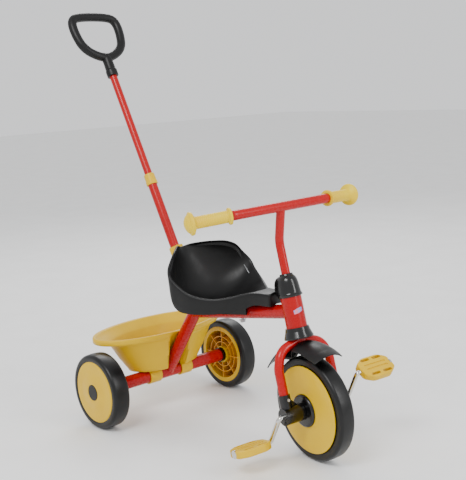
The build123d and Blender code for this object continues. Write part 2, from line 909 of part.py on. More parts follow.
def strut_groove(extra):
    """Space in front of the tub where the frame's strut passes."""
    with BuildPart() as groove:
        with BuildSketch(strut_plane.offset(-20)):
            with Locations((0, -60 + frame_tube_radius + 2 + extra)):
                Rectangle(2 * (frame_tube_radius + 3 + extra), 120)
        extrude(amount=240)
    return groove.part


def make_bucket():
    brim_x, brim_y = bucket_brim_half
    with BuildPart() as cavity:
        add(tub(bucket_wall, bucket_floor + bucket_wall, bucket_top + 0.01))
        add(strut_groove(bucket_wall), mode=Mode.SUBTRACT)
    with BuildPart() as bucket:
        add(tub(0, bucket_floor, bucket_top))
        with BuildSketch(Plane.XY.offset(bucket_top - bucket_lip)):
            with Locations((bucket_brim_middle, 0)):
                Ellipse(brim_x, brim_y)
                Ellipse(brim_x - 3, brim_y - 3, mode=Mode.SUBTRACT)
        extrude(amount=bucket_lip)
        add(strut_groove(0), mode=Mode.SUBTRACT)
        add(cavity.part, mode=Mode.SUBTRACT)
        for side in (-1, 1):
            with BuildSketch(side_plane(1, side * tip_clip_y - tip_clip_width / 2, 0, rear_wheel_radius)):
                Circle(axle_tube_radius + 3.2)
                with Locations((-6, -14)):
                    Rectangle(26, 12)
                Circle(axle_tube_radius + running_gap, mode=Mode.SUBTRACT)
                with Locations((-20, 12)):
                    Rectangle(30, 26, mode=Mode.SUBTRACT)
            extrude(amount=tip_clip_width)
    return bucket.part


def make_seat_bolt():
    plane = seat_bolt_plane()
    with BuildPart() as bolt:
        with BuildSketch(plane.offset(-frame_tube_radius - 9)):
            RegularPolygon(6, 6)
        extrude(amount=5)
        with BuildSketch(plane.offset(-frame_tube_radius - 4)):
            Circle(8)
        extrude(amount=1.5)
        with BuildSketch(plane.offset(-frame_tube_radius - 3)):
            Circle(bolt_radius)
        extrude(amount=frame_tube_radius * 2 + 6)
    return bolt.part


# ------------------------------------------------------------------ assembly
keep("main_tube", make_main_tube())
keep("rear_strut", make_rear_strut())
keep("axle_tube", make_axle_tube())
keep("push_bar_socket", make_push_socket())
keep("head_tube", tube_along(head_plane, head_tube_radius, head_tube_wall, head_tube_low, head_tube_high))
keep("head_bush_lower", make_head_bush(head_tube_low, head_tube_low + 14, collar_top, head_tube_low))
keep("head_bush_upper", make_head_bush(head_tube_high - 14, head_tube_high, head_tube_high, cap_low))
keep("head_cap", make_head_cap())
keep("head_collar", make_head_collar())
keep("rear_axle", make_rear_axle())
axle_ends = [side_plane(side, axle_half - nut_grip, 0, rear_wheel_radius) for side in (-1, 1)]
keep("rear_push_nuts", push_nuts(axle_ends, axle_radius))
keep("seat", make_seat())
keep("seat_bolt", make_seat_bolt())
keep("bar_clip", make_bar_clip())
keep("bucket", make_bucket())

rear_tyre_foot = [
    (rear_rim_radius + part_gap, rear_tyre_width / 2),
    (rear_rim_radius + part_gap, rear_face - flange_lip - 0.1),
    (rear_seat_radius, rear_face - flange_lip - 0.1),
]
for side, name in ((-1, "right"), (1, "left")):
    wheel_place = Plane(
        origin=(0, side * rear_track / 2, rear_wheel_radius),
        x_dir=(-side, 0, 0),
        z_dir=(0, 0, 1),
    )
    keep(f"axle_bush_{name}", make_axle_bush(side))
    keep(f"rear_tyre_{name}", make_tyre(rear_wheel_radius, rear_tyre_width, rear_tyre_foot), wheel_place)
    keep(f"rear_disc_{name}", make_rear_disc(), wheel_place)
    keep(f"hub_cap_{name}", make_hub_cap(), wheel_place)
    keep(f"front_disc_{name}", make_front_disc(side), axle_plane)
    keep(f"hub_flange_{name}", make_hub_flange(side), axle_plane)
    keep(f"fork_leg_{name}", make_fork_leg(side), steering_plane)
    keep(f"fork_boot_{name}", make_fork_boot(side), steering_plane)
    keep(f"crank_bush_{name}", make_crank_bush(side), steering_plane)
    keep(f"grip_{name}", make_grip(side), steering_plane)
keep("pedal_right", make_pedal(-1, pedal_tilt_right), axle_plane)
keep("pedal_left", make_pedal(1, pedal_tilt_left), axle_plane)

front_tyre_foot = [(front_rim_radius - 6, front_tyre_width / 2)]
pin_ends = [
    side_plane(side, pedal_inner_y + pedal_length - pedal_pocket + part_gap, side * crank_x, side * crank_z)
    for side in (-1, 1)
]
keep("front_tyre", make_tyre(front_wheel_radius, front_tyre_width, front_tyre_foot), axle_plane)
keep("crank_axle", make_crank_axle(), axle_plane)
keep("pedal_nuts", push_nuts(pin_ends, crank_radius), axle_plane)
keep("fork_crown", make_fork_crown(), steering_plane)
keep("fork_screws", make_fork_screws(), steering_plane)
keep("fender", make_fender(), steering_plane)
keep("fender_screw", make_fender_screw(), steering_plane)
keep("handlebar_tube", make_handlebar_tube(), steering_plane)
keep("handlebar_stem", make_handlebar_stem(), steering_plane)

keep("push_bar_lower", tube_along(push_plane, push_low_radius, push_wall, push_low_start, push_low_end))
keep("push_bar_upper", tube_along(push_plane, push_top_radius, push_wall, push_low_end - push_overlap, push_top_end))
keep("clamp_collar", make_clamp_collar())
keep("push_handle", make_push_handle())

# The origin is the middle of the footprint box on the ground.
corners = [piece.bounding_box() for piece in pieces.values()]
middle_x = (min(box.min.X for box in corners) + max(box.max.X for box in corners)) / 2
for name, piece in pieces.items():
    placed = piece.moved(Location((-middle_x, 0, 0)))
    placed.label = name
    export_step(placed, f"parts/{name}.step")
print("pieces", len(pieces), "origin is", round(middle_x, 3), "mm ahead of the rear axle")
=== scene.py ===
import math

import bmesh
import bpy
import numpy as np
from mathutils import Matrix, Vector


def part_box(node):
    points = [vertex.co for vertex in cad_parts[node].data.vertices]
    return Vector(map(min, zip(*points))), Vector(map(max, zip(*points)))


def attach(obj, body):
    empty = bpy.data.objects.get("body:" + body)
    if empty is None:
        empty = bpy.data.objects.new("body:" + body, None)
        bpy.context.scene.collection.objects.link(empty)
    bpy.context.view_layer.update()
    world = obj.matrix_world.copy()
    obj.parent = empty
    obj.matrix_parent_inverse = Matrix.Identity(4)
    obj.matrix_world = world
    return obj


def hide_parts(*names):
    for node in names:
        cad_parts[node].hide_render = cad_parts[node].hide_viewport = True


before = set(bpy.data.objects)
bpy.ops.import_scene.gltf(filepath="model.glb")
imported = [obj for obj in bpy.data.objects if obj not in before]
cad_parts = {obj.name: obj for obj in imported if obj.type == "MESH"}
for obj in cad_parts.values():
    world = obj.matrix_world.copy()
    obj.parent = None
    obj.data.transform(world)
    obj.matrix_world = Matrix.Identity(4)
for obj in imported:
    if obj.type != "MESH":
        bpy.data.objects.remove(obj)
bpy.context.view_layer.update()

# sizes in millimetres and angles in degrees, from the ground point under the rear axle
tricycle = {
    "originAhead": 193.409,
    "rake": 13.3,
    "steer": -8.4,
    "wheelbase": 509.0,
    "frontRadius": 112.5,
    "rearRadius": 90.0,
    "rearTrack": 397.0,
    "forkOffset": 2.6,
    "crankLength": 64.0,
    "crankLean": 26.0,
    "pushLean": 26.9,
    "pushRoot": (136.0, 264.0),
    "tubeRoot": (125.0, 262.0),
    "tubeRise": 8.57,
}
tyre = {
    "frontWidth": 38.0,
    "rearWidth": 44.0,
    "crown": 120.0,
    "shoulder": 7.0,
    "segments": 192,
}
frontDisc = {"bore": 5.2, "rim": 94.0, "face": 22.4, "web": 26.0, "tyreInner": 89.0}
rearDisc = {
    "bore": 5.1,
    "rim": 73.5,
    "face": 21.4,
    "tyreInner": 66.4,
    "ribs": 8,
    "ribSpan": (21.5, 63.0),
    "rings": (34.0, 48.0),
    "wall": 2.6,
}
grip = {
    "start": 117.8,
    "middle": (31.7, 0, 427.5),
    "sweep": 16.4,
    "length": 92.0,
    "bore": 10.5,
    "valley": 12.3,
    "ridge": 12.9,
    "ribs": 15,
    "flange": 17.5,
    "end": 24.0,
}
pedal = {
    "inner": 106.0,
    "length": 85.0,
    "width": 58.0,
    "height": 16.5,
    "pin": 5.06,
    "tilt": {"right": -11.5, "left": 28.5},
}
tub = {
    "floor": 107.0,
    "shelf": 184.0,
    "top": 204.5,
    "brim": (92.0, 184.0),
    "middle": -33.0,
    "wall": 2.8,
    "lip": 14.0,
    "segments": 160,
    "tubeRadius": 15.3,
    "tubeClearance": 2.6,
    "strap": (16.1, 19.6),
    "strapHalf": 17.0,
    "strapAt": 48.0,
}
handle = {"low": 682.0, "radius": 11.0, "socketLow": 628.0, "pathPasses": 5}
collar = {"low": 330.0, "bore": 9.4, "tubeBore": 11.3}
# seat sections from nose to back: x, z, half width, rise, lean in degrees, skirt depth
seatShape = {
    "wall": 2.6,
    "railAt": 19.0,
    "railHalf": 2.0,
    "slots": (0.47, 0.56),
    "slotSide": 0.86,
    "sections": [
        (408, 350, 21, -3.5, 0, 27),
        (366, 347, 25, -2.5, 0, 27),
        (342, 338, 38, 3, 0, 34),
        (318, 326, 56, 8, 0, 34),
        (285, 308, 83, 22, 0, 34),
        (245, 297, 106, 42, 0, 44),
        (205, 294, 116, 66, 5, 60),
        (176, 300, 119, 80, 13, 56),
        (152, 316, 111, 85, 21, 30),
        (132, 343, 94, 85, 31, 17),
        (115, 374, 73, 68, 41, 13),
        (102, 398, 49, 42, 49, 11),
        (93, 410, 27, 20, 53, 10),
        (88, 415, 9, 4, 55, 9),
    ],
    "along": 96,
    "across": 64,
    "roll": [(1.2, 0.5), (2.8, 0.3), (4.2, -0.9), (4.9, -2.6), (5.1, -5.0)],
    "drops": (0.35, 0.7, 1.0),
    "taper": 0.07,
}
mudguard = {
    "radius": 144.0,
    "saddle": 129.5,
    "half": 38.0,
    "drop": 14.0,
    "wall": 2.4,
    "front": 40.0,
    "rear": 45.0,
    "channel": 14.4,
}
patch = {"radius": 22.62, "middle": 208.0, "half": 5.0, "turn": -18.0, "spread": 25.0, "tilt": 2.5}
view = {
    "eye": (1835.6, -1350.3, 801.6),
    "aim": (275.61, 0, 448.57),
    "roll": -3.02,
    "lens": 72.47,
    "sensor": 36,
    "air": 1.05,
}
colours = {
    "red": "#B00004",
    "redDark": "#A20004",
    "yellow": "#DCB400",
    "yellowWarm": "#D4AA00",
    "lemon": "#E2C800",
    # the next two tones paint the wheel ribs deeper orange: painted shade in their pockets and painted glow
    # of light through the thin plastic
    "ribShade": "#D69A00",
    "ribShadeDark": "#C88800",
    "black": "#040404",
    "blackSoft": "#080808",
    "rubber": "#050505",
    "chrome": "#D9D8D4",
    "zinc": "#B9BABC",
    "floor": "#F4F4F3",
    "floorShade": "#EFEFEE",
    "blue": "#5E9AD6",
    "pink": "#DE7E96",
}


# matrices of the assembly's own frames
def unit(x, y, z):
    return Vector((x, y, z)).normalized()


def frameOf(origin, xAxis, zAxis):
    """Matrix from local millimetres to the row frame in metres."""
    x = xAxis.normalized()
    z = zAxis.normalized()
    y = z.cross(x)
    rows = Matrix((x, y, z)).transposed().to_4x4()
    shifted = Vector((origin[0] - tricycle["originAhead"], origin[1], origin[2])) / 1000
    return Matrix.Translation(shifted) @ rows @ Matrix.Scale(0.001, 4)


rake = math.radians(tricycle["rake"])
headUp = unit(-math.sin(rake), 0, math.cos(rake))
headForward = unit(math.cos(rake), 0, math.sin(rake))
frontCentre = Vector((tricycle["wheelbase"], 0, tricycle["frontRadius"]))
headOrigin = frontCentre - headForward * tricycle["forkOffset"]
turn = Matrix.Rotation(math.radians(tricycle["steer"]), 3, headUp)
steerForward = turn @ headForward
axleCentre = headOrigin + steerForward * tricycle["forkOffset"]
pushAngle = math.radians(tricycle["pushLean"])
pushUp = unit(-math.sin(pushAngle), 0, math.cos(pushAngle))
pushOrigin = Vector((tricycle["pushRoot"][0], 0, tricycle["pushRoot"][1]))

ground = frameOf((0, 0, 0), unit(1, 0, 0), unit(0, 0, 1))
headFrame = frameOf(headOrigin, headForward, headUp)
steerFrame = frameOf(headOrigin, steerForward, headUp)
wheelFrame = frameOf(axleCentre, turn @ unit(1, 0, 0), turn @ unit(0, 0, 1))
pushFrame = frameOf(pushOrigin, unit(math.cos(pushAngle), 0, math.sin(pushAngle)), pushUp)
tubeX, tubeZ = tricycle["tubeRoot"]
strutDirection = Vector((tubeX, 0, tubeZ - tricycle["rearRadius"])).normalized()


# colour and node helpers
def linear(code):
    values = [int(code[i:i + 2], 16) / 255 for i in (1, 3, 5)]
    return tuple(v / 12.92 if v <= 0.04045 else ((v + 0.055) / 1.055) ** 2.4 for v in values) + (1.0,)


def addNode(tree, kind, **inputs):
    node = tree.nodes.new(kind)
    for key, value in inputs.items():
        if key in node.inputs:
            node.inputs[key].default_value = value
        else:
            setattr(node, key, value)
    return node


def newMaterial(name):
    material = bpy.data.materials.new(name)
    material.use_nodes = True
    tree = material.node_tree
    tree.nodes.clear()
    output = addNode(tree, "ShaderNodeOutputMaterial")
    shader = addNode(tree, "ShaderNodeBsdfPrincipled")
    place = addNode(tree, "ShaderNodeTexCoord")
    tree.links.new(shader.outputs["BSDF"], output.inputs["Surface"])
    return material, tree, shader, place


def noise(tree, place, scale, detail=4.0, rough=0.55):
    node = addNode(tree, "ShaderNodeTexNoise", Scale=scale, Detail=detail, Roughness=rough)
    tree.links.new(place.outputs["Object"], node.inputs["Vector"])
    return node


def ramp(tree, source, low, high, start=0.3, end=0.7):
    node = addNode(tree, "ShaderNodeMapRange")
    node.inputs["From Min"].default_value = start
    node.inputs["From Max"].default_value = end
    node.inputs["To Min"].default_value = low
    node.inputs["To Max"].default_value = high
    tree.links.new(source, node.inputs["Value"])
    return node.outputs["Result"]


def blendColours(tree, factor, first, second):
    node = tree.nodes.new("ShaderNodeMix")
    node.data_type = "RGBA"
    for socket in node.inputs:
        if socket.name == "A" and socket.type == "RGBA":
            socket.default_value = first
        if socket.name == "B" and socket.type == "RGBA":
            socket.default_value = second
    tree.links.new(factor, node.inputs[0])
    return next(socket for socket in node.outputs if socket.type == "RGBA")


def bumps(tree, shader, layers):
    """Chained bump nodes: each layer is (height socket, strength, distance in metres)."""
    before = None
    for height, strength, distance in layers:
        node = addNode(tree, "ShaderNodeBump", Strength=strength, Distance=distance)
        tree.links.new(height, node.inputs["Height"])
        if before:
            tree.links.new(before, node.inputs["Normal"])
        before = node.outputs["Normal"]
    tree.links.new(before, shader.inputs["Normal"])


def polymer(name, base, shade, gloss, grain, depth, specular=0.5, coat=0.0):
    """Moulded plastic: slow colour drift, roughness breakup, fine texture from the tool."""
    material, tree, shader, place = newMaterial(name)
    drift = noise(tree, place, 14.0, 3.0)
    tint = blendColours(tree, ramp(tree, drift.outputs["Fac"], 0.0, 1.0), linear(base), linear(shade))
    tree.links.new(tint, shader.inputs["Base Color"])
    wipe = noise(tree, place, 60.0, 5.0)
    tree.links.new(ramp(tree, wipe.outputs["Fac"], gloss - 0.05, gloss + 0.07), shader.inputs["Roughness"])
    fine = noise(tree, place, grain, 6.0)
    flow = noise(tree, place, 35.0, 2.0)
    bumps(tree, shader, [(flow.outputs["Fac"], 0.05, 0.0004), (fine.outputs["Fac"], depth, 0.0001)])
    shader.inputs["Specular IOR Level"].default_value = specular
    shader.inputs["Coat Weight"].default_value = coat
    shader.inputs["Coat Roughness"].default_value = 0.12
    return material


def powderCoat(name, base, shade):
    """Gloss powder coat over steel tube: orange-peel ripple and faint thickness changes."""
    material, tree, shader, place = newMaterial(name)
    drift = noise(tree, place, 9.0, 3.0)
    tint = blendColours(tree, ramp(tree, drift.outputs["Fac"], 0.0, 1.0), linear(base), linear(shade))
    tree.links.new(tint, shader.inputs["Base Color"])
    wipe = noise(tree, place, 120.0, 4.0)
    tree.links.new(ramp(tree, wipe.outputs["Fac"], 0.22, 0.33), shader.inputs["Roughness"])
    peel = noise(tree, place, 420.0, 2.0)
    bumps(tree, shader, [(peel.outputs["Fac"], 0.05, 0.00008)])
    shader.inputs["Specular IOR Level"].default_value = 0.25
    shader.inputs["Coat Weight"].default_value = 0.12
    shader.inputs["Coat Roughness"].default_value = 0.08
    return material


def platedSteel(name, base, rough, brush):
    """Plated rod: bright metal with fine drawing lines along the rod and small stains."""
    material, tree, shader, place = newMaterial(name)
    stain = noise(tree, place, 90.0, 5.0)
    dark = tuple(0.72 * v for v in linear(base)[:3]) + (1.0,)
    tint = blendColours(tree, ramp(tree, stain.outputs["Fac"], 0.0, 0.6), linear(base), dark)
    tree.links.new(tint, shader.inputs["Base Color"])
    shader.inputs["Metallic"].default_value = 1.0
    lines = noise(tree, place, brush, 3.0)
    tree.links.new(ramp(tree, lines.outputs["Fac"], rough * 0.6, rough * 1.5), shader.inputs["Roughness"])
    bumps(tree, shader, [(lines.outputs["Fac"], 0.05, 0.0001)])
    return material


# powder coat: deep red with an orange-peel shine; polypropylene: even satin yellow, ribs painted deeper
# orange as painted shade in their pockets and painted glow of light through thin plastic; vinyl: softer,
# paler grips;
# ABS: wet black shine; polyethylene and foamed EVA: dull pebbled blacks; plating: bright rods and greyer
# fasteners
materials = {
    "powderCoat": powderCoat("powderCoatedSteelRed", colours["red"], colours["redDark"]),
    "yellow": polymer("mouldedPolypropyleneYellow", colours["yellow"], colours["yellowWarm"],
                      gloss=0.36, grain=900.0, depth=0.12, specular=0.25, coat=0.04),
    # wheel ribs: the disc's yellow plastic painted deeper orange, as painted shade in the rib pockets and
    # painted glow of light through the thin plastic
    "ribPaintedShade": polymer("mouldedPolypropyleneRibsPaintedShade", colours["ribShade"], colours["ribShadeDark"],
                         gloss=0.42, grain=700.0, depth=0.2),
    "lemon": polymer("softVinylGripLemon", colours["lemon"], colours["yellow"],
                     gloss=0.44, grain=1400.0, depth=0.2, specular=0.4),
    "blackGloss": polymer("mouldedAbsBlackGloss", colours["black"], colours["blackSoft"],
                          gloss=0.2, grain=1200.0, depth=0.05, specular=0.4, coat=0.2),
    "black": polymer("blowMouldedPolyethyleneBlack", colours["blackSoft"], colours["black"],
                     gloss=0.4, grain=1500.0, depth=0.22, specular=0.32),
    "tyre": polymer("foamedEvaTyreBlack", colours["rubber"], colours["blackSoft"],
                    gloss=0.36, grain=1100.0, depth=0.3, specular=0.36),
    "chrome": platedSteel("chromePlatedRod", colours["chrome"], 0.12, 700.0),
    "zinc": platedSteel("zincPlatedFastener", colours["zinc"], 0.34, 500.0),
}
print("materials", len(materials))


# mesh helpers
def finishMesh(bm, name, body, material, place, replaced=(), smoothAngle=32):
    bmesh.ops.transform(bm, matrix=place, verts=bm.verts)
    bmesh.ops.remove_doubles(bm, verts=bm.verts, dist=1e-6)
    bmesh.ops.recalc_face_normals(bm, faces=bm.faces)
    mesh = bpy.data.meshes.new(name)
    bm.to_mesh(mesh)
    bm.free()
    obj = bpy.data.objects.new(name, mesh)
    bpy.context.scene.collection.objects.link(obj)
    mesh.materials.append(materials[material])
    mesh.polygons.foreach_set("use_smooth", [True] * len(mesh.polygons))
    mesh.set_sharp_from_angle(angle=math.radians(smoothAngle))
    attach(obj, body)
    if replaced:
        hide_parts(*replaced)
    return obj


def gather(bm, part):
    """Moves a part built on its own into the mesh of its piece."""
    mesh = bpy.data.meshes.new("part")
    part.to_mesh(mesh)
    part.free()
    bm.from_mesh(mesh)
    bpy.data.meshes.remove(mesh)


def rounded(points, sizes, steps=5):
    """Polyline of 2-D points with its corners turned into arcs; sizes gives each corner's cut-back."""
    out = []
    count = len(points)
    for i, (point, size) in enumerate(zip(points, sizes)):
        p = Vector(point)
        if size <= 0:
            out.append(p)
            continue
        a = Vector(points[i - 1]) - p
        b = Vector(points[(i + 1) % count]) - p
        cut = min(size, a.length * 0.45, b.length * 0.45)
        a = p + a.normalized() * cut
        b = p + b.normalized() * cut
        for k in range(steps + 1):
            t = k / steps
            out.append(a * (1 - t) ** 2 + p * 2 * t * (1 - t) + b * t * t)
    return out


def lathe(bm, profile, segments, closed=True, sweep=360.0):
    """Turns (radius, height) points about the local Z axis."""
    verts = [bm.verts.new((max(p[0], 0.0), 0, p[1])) for p in profile]
    edges = [bm.edges.new((a, b)) for a, b in zip(verts, verts[1:])]
    if closed:
        edges.append(bm.edges.new((verts[-1], verts[0])))
    bmesh.ops.spin(
        bm, geom=verts + edges, cent=(0, 0, 0), axis=(0, 0, 1), dvec=(0, 0, 0),
        angle=math.radians(sweep), steps=segments, use_merge=sweep >= 360, use_duplicate=False,
    )
    if sweep < 360:
        ends = [e for e in bm.edges if len(e.link_faces) == 1]
        bmesh.ops.edgeloop_fill(bm, edges=ends)


def turnedPiece(name, body, material, place, points, sizes, segments=96, replaced=(), steps=5):
    bm = bmesh.new()
    lathe(bm, rounded(points, sizes, steps), segments)
    return finishMesh(bm, name, body, material, place, replaced)


def prism(bm, outline, low, high, bevel=0.0, segments=3):
    """Extrudes a flat outline along local Z and rounds its rim edges."""
    verts = [bm.verts.new((x, y, low)) for x, y in outline]
    face = bm.faces.new(verts)
    made = bmesh.ops.extrude_face_region(bm, geom=[face])
    top = [v for v in made["geom"] if isinstance(v, bmesh.types.BMVert)]
    bmesh.ops.translate(bm, vec=(0, 0, high - low), verts=top)
    bmesh.ops.recalc_face_normals(bm, faces=bm.faces)
    if bevel:
        rims = [e for e in bm.edges if abs(e.verts[0].co.z - e.verts[1].co.z) < 1e-6]
        bmesh.ops.bevel(
            bm, geom=rims, offset=bevel, affect="EDGES", segments=segments, profile=0.5,
            material=-1, clamp_overlap=True,
        )


def fade(value, low, high):
    """Falls smoothly from 1 at low to 0 at high."""
    t = 1 - min(max((value - low) / (high - low), 0.0), 1.0)
    return t * t * (3 - 2 * t)


def axisY(place, side=1):
    """Local Z turned onto the place's Y axis, pointing to the given side."""
    return place @ Matrix.Rotation(math.radians(-90 * side), 4, "X")


# wheels
def tyreProfile(radius, width, foot, inner):
    half = width / 2
    crown, shoulder = tyre["crown"], tyre["shoulder"]
    tread, steps = [], 14
    for k in range(-steps, steps + 1):
        h = half * k / steps
        edge = max(0.0, abs(h) - (half - shoulder))
        drop = crown - math.sqrt(crown ** 2 - h * h) + shoulder - math.sqrt(shoulder ** 2 - edge ** 2)
        tread.append((radius - drop, h))
    side = []
    for t in (0.2, 0.4, 0.6, 0.8, 1.0):
        bulge = 0.66 * math.sin(math.pi * t)
        side.append((tread[-1][0] + (foot + 1.5 - tread[-1][0]) * t, half - 0.8 + bulge))
    side += [(foot, half - 1.4), (inner, half - 2.4)]
    return [Vector(p) for p in tread + side + [(r, -h) for r, h in reversed(side)]]


def makeTyre(name, body, node, place, radius, width, foot, inner):
    bm = bmesh.new()
    lathe(bm, tyreProfile(radius, width, foot, inner), tyre["segments"])
    return finishMesh(bm, name, body, "tyre", axisY(place), [node], 40)


makeTyre("tyreFront", "front_wheel", "front_tyre", wheelFrame, tricycle["frontRadius"], tyre["frontWidth"],
         frontDisc["rim"] + 0.3, frontDisc["tyreInner"])

for side, word in ((-1, "right"), (1, "left")):
    bore, rim, face, web = (frontDisc[key] for key in ("bore", "rim", "face", "web"))
    dished = [
        (bore, 0.2), (bore, web), (40, web), (46, web - 0.8), (80, face + 1.6), (86, face + 1.0),
        (92, face + 0.1), (rim, face - 1.2), (rim, 19.2), (88.4, 18.6), (88.0, 0.2),
        (85, 0.2), (85, face - 2.4), (40, web - 3), (18, web - 3), (14, 0.2),
    ]
    corners = [0, 0, 1.5, 4, 3, 2, 1.2, 0.6, 0.3, 0, 0, 0, 1, 1, 1, 0]
    axle = axisY(wheelFrame, side)
    turnedPiece(f"discFront.{word}", "front_wheel", "yellow", axle, dished, corners, 160,
                [f"front_disc_{word}"])
    flange = [(bore, 26.1), (bore, 33.6), (19, 33.6), (20.5, 33.2), (32, 32.4), (34.8, 30), (35.6, 26.1)]
    turnedPiece(f"hubFlange.{word}", "front_wheel", "blackGloss", axle, flange,
                [0, 0.4, 0.8, 0.8, 2.5, 1.5, 0], 96, [f"hub_flange_{word}"])

for side, word in ((-1, "right"), (1, "left")):
    centre = (0, side * tricycle["rearTrack"] / 2, tricycle["rearRadius"])
    place = frameOf(centre, unit(1, 0, 0), unit(0, 0, 1))
    axle = axisY(place, side)
    body = f"{word}_rear_wheel"
    bore, rim, f, wall = (rearDisc[key] for key in ("bore", "rim", "face", "wall"))
    makeTyre(f"tyreRear.{word}", body, f"rear_tyre_{word}", place, tricycle["rearRadius"],
             tyre["rearWidth"], rim + 0.3, rearDisc["tyreInner"])
    dished = [
        (bore, f - 9), (11, f - 9), (11, f + 1.4), (19.2, f + 1.4), (19.2, f + 3.8), (25, f + 3.8),
        (47, f + 1.0), (62, f + 0.7), (67, f + 0.9), (72, f + 0.1), (rim, f - 1.2), (rim, f - 3),
        (66, f - 3), (66, -f + 3), (rim, -f + 3), (rim, -f), (62.5, -f), (62.5, f - 2.5), (22, f - 2.5),
        (22, -f), (bore, -f),
    ]
    corners = [0, 0, 0.4, 0.4, 0.8, 4, 8, 2, 2, 1.4, 0.8, 0.3, 0, 0, 0.5, 0.8, 0.8, 2.0, 2.0, 0.8, 0.4]
    turnedPiece(f"discRear.{word}", body, "yellow", axle, dished, corners, 144,
                [f"rear_disc_{word}"])
    bm = bmesh.new()
    inner, outer = rearDisc["ribSpan"]
    for k in range(rearDisc["ribs"]):
        rib = bmesh.new()
        outline = [(inner, -wall / 2), (outer, -wall / 2), (outer, wall / 2), (inner, wall / 2)]
        prism(rib, outline, -f + wall, f - wall, 0.5, 2)
        angle = 2 * math.pi * k / rearDisc["ribs"]
        bmesh.ops.rotate(rib, cent=(0, 0, 0), matrix=Matrix.Rotation(angle, 3, "Z"), verts=rib.verts)
        gather(bm, rib)
    for radius in rearDisc["rings"]:
        ring = bmesh.new()
        section = [(radius - wall, f - wall), (radius, f - wall), (radius, -f + 3), (radius - wall, -f + 3)]
        lathe(ring, rounded(section, [0, 0, 0.6, 0.6]), 96)
        gather(bm, ring)
    # the ribs take the painted-shade orange copy of the yellow plastic
    finishMesh(bm, f"ribsRear.{word}", body, "ribPaintedShade", axle)
print("wheels done")


# seat
def seatRow(u):
    """Smoothly interpolated section values, u from 0 at the nose to 1 at the top of the back."""
    rows = np.array(seatShape["sections"], float)
    s = min(max(u, 0.0), 1.0) * (len(rows) - 1)
    i = min(int(s), len(rows) - 2)
    t = s - i
    p0, p1, p2, p3 = (rows[max(0, min(len(rows) - 1, i + k))] for k in (-1, 0, 1, 2))
    return 0.5 * (2 * p1 + (p2 - p0) * t + (2 * p0 - 5 * p1 + 4 * p2 - p3) * t * t
                  + (3 * p1 - p0 - 3 * p2 + p3) * t ** 3)


def seatPoint(u, v):
    """Point on the bowl's inner face: v runs across it from -1 to 1."""
    x, z, half, rise, lean = seatRow(u)[:5]
    if abs(rise) < 0.4:
        rise = 0.4
    radius = (half * half + rise * rise) / (2 * rise)
    angle = v * 2 * math.atan2(rise, half)
    up = radius * (1 - math.cos(angle))
    a = math.radians(lean)
    return Vector((x + up * math.sin(a), radius * math.sin(angle), z + up * math.cos(a)))


def rimDirections(bm, centre, depthOf):
    """Place, outward direction and skirt depth of every vertex on the bowl's rim."""
    rim = {}
    for vert in {v for e in bm.edges if e.is_boundary for v in e.verts}:
        ahead = Vector((vert.co.x - centre.x, vert.co.y, 0))
        tangent = Vector((0, 0, 0))
        for edge in vert.link_edges:
            if edge.is_boundary:
                step = edge.other_vert(vert).co - vert.co
                tangent += step if tangent.dot(step) >= 0 else -step
        out = tangent.cross(Vector((0, 0, 1)))
        if out.length < 1e-6:
            out = ahead
        out = Vector((out.x, out.y, 0)).normalized()
        rim[vert] = (vert.co.copy(), out if out.dot(ahead) > 0 else -out, depthOf[vert])
    return rim


def makeSeat():
    """Thin bowl whose rim rolls over into a skirt that hangs outside it."""
    bm = bmesh.new()
    bmesh.ops.create_grid(bm, x_segments=seatShape["along"], y_segments=seatShape["across"], size=1)
    depthOf = {}
    for vert in bm.verts:
        u, v = (vert.co.x + 1) / 2, vert.co.y
        vert.co = seatPoint(u, v)
        depthOf[vert] = seatRow(u)[5]
    centre = sum((v.co for v in bm.verts), Vector()) / len(bm.verts)
    bmesh.ops.recalc_face_normals(bm, faces=bm.faces)
    current = [e for e in bm.edges if e.is_boundary]
    start = rimDirections(bm, centre, depthOf)
    reach, low = seatShape["roll"][-1]
    for out, down in seatShape["roll"] + [(None, share) for share in seatShape["drops"]]:
        made = bmesh.ops.extrude_edge_only(bm, edges=current)["geom"]
        fresh = {v for v in made if isinstance(v, bmesh.types.BMVert)}
        current = [e for e in made if isinstance(e, bmesh.types.BMEdge) and e.is_boundary
                   and all(v in fresh for v in e.verts)]
        carried = {}
        for vert in fresh:
            above = (e.other_vert(vert) for e in vert.link_edges if e.other_vert(vert) in start)
            base, side, depth = start[min(above, key=lambda v: (v.co - vert.co).length)]
            if out is None:
                rest = (depth + low) * down
                vert.co = base + side * (reach - seatShape["taper"] * rest) + Vector((0, 0, low - rest))
            else:
                vert.co = base + side * out + Vector((0, 0, down))
            carried[vert] = (base, side, depth)
        start = carried
    bmesh.ops.recalc_face_normals(bm, faces=bm.faces)
    middle = min(bm.faces, key=lambda f: (f.calc_center_median() - seatPoint(0.38, 0)).length)
    if middle.normal.z < 0:
        bmesh.ops.reverse_faces(bm, faces=bm.faces)
    bmesh.ops.solidify(bm, geom=bm.faces, thickness=seatShape["wall"])
    sharp = [e for e in bm.edges if len(e.link_faces) == 2 and e.calc_face_angle() > 1.2]
    bmesh.ops.bevel(bm, geom=sharp, offset=0.9, affect="EDGES", segments=3, profile=0.5, material=-1,
                    clamp_overlap=True)
    return finishMesh(bm, "seatShell", "frame", "black", ground, ["seat"], 50)


makeSeat()


def mainTubeZ(x):
    """Height of the main tube's middle line."""
    return tubeZ + (x - tubeX) * math.tan(math.radians(tricycle["tubeRise"]))


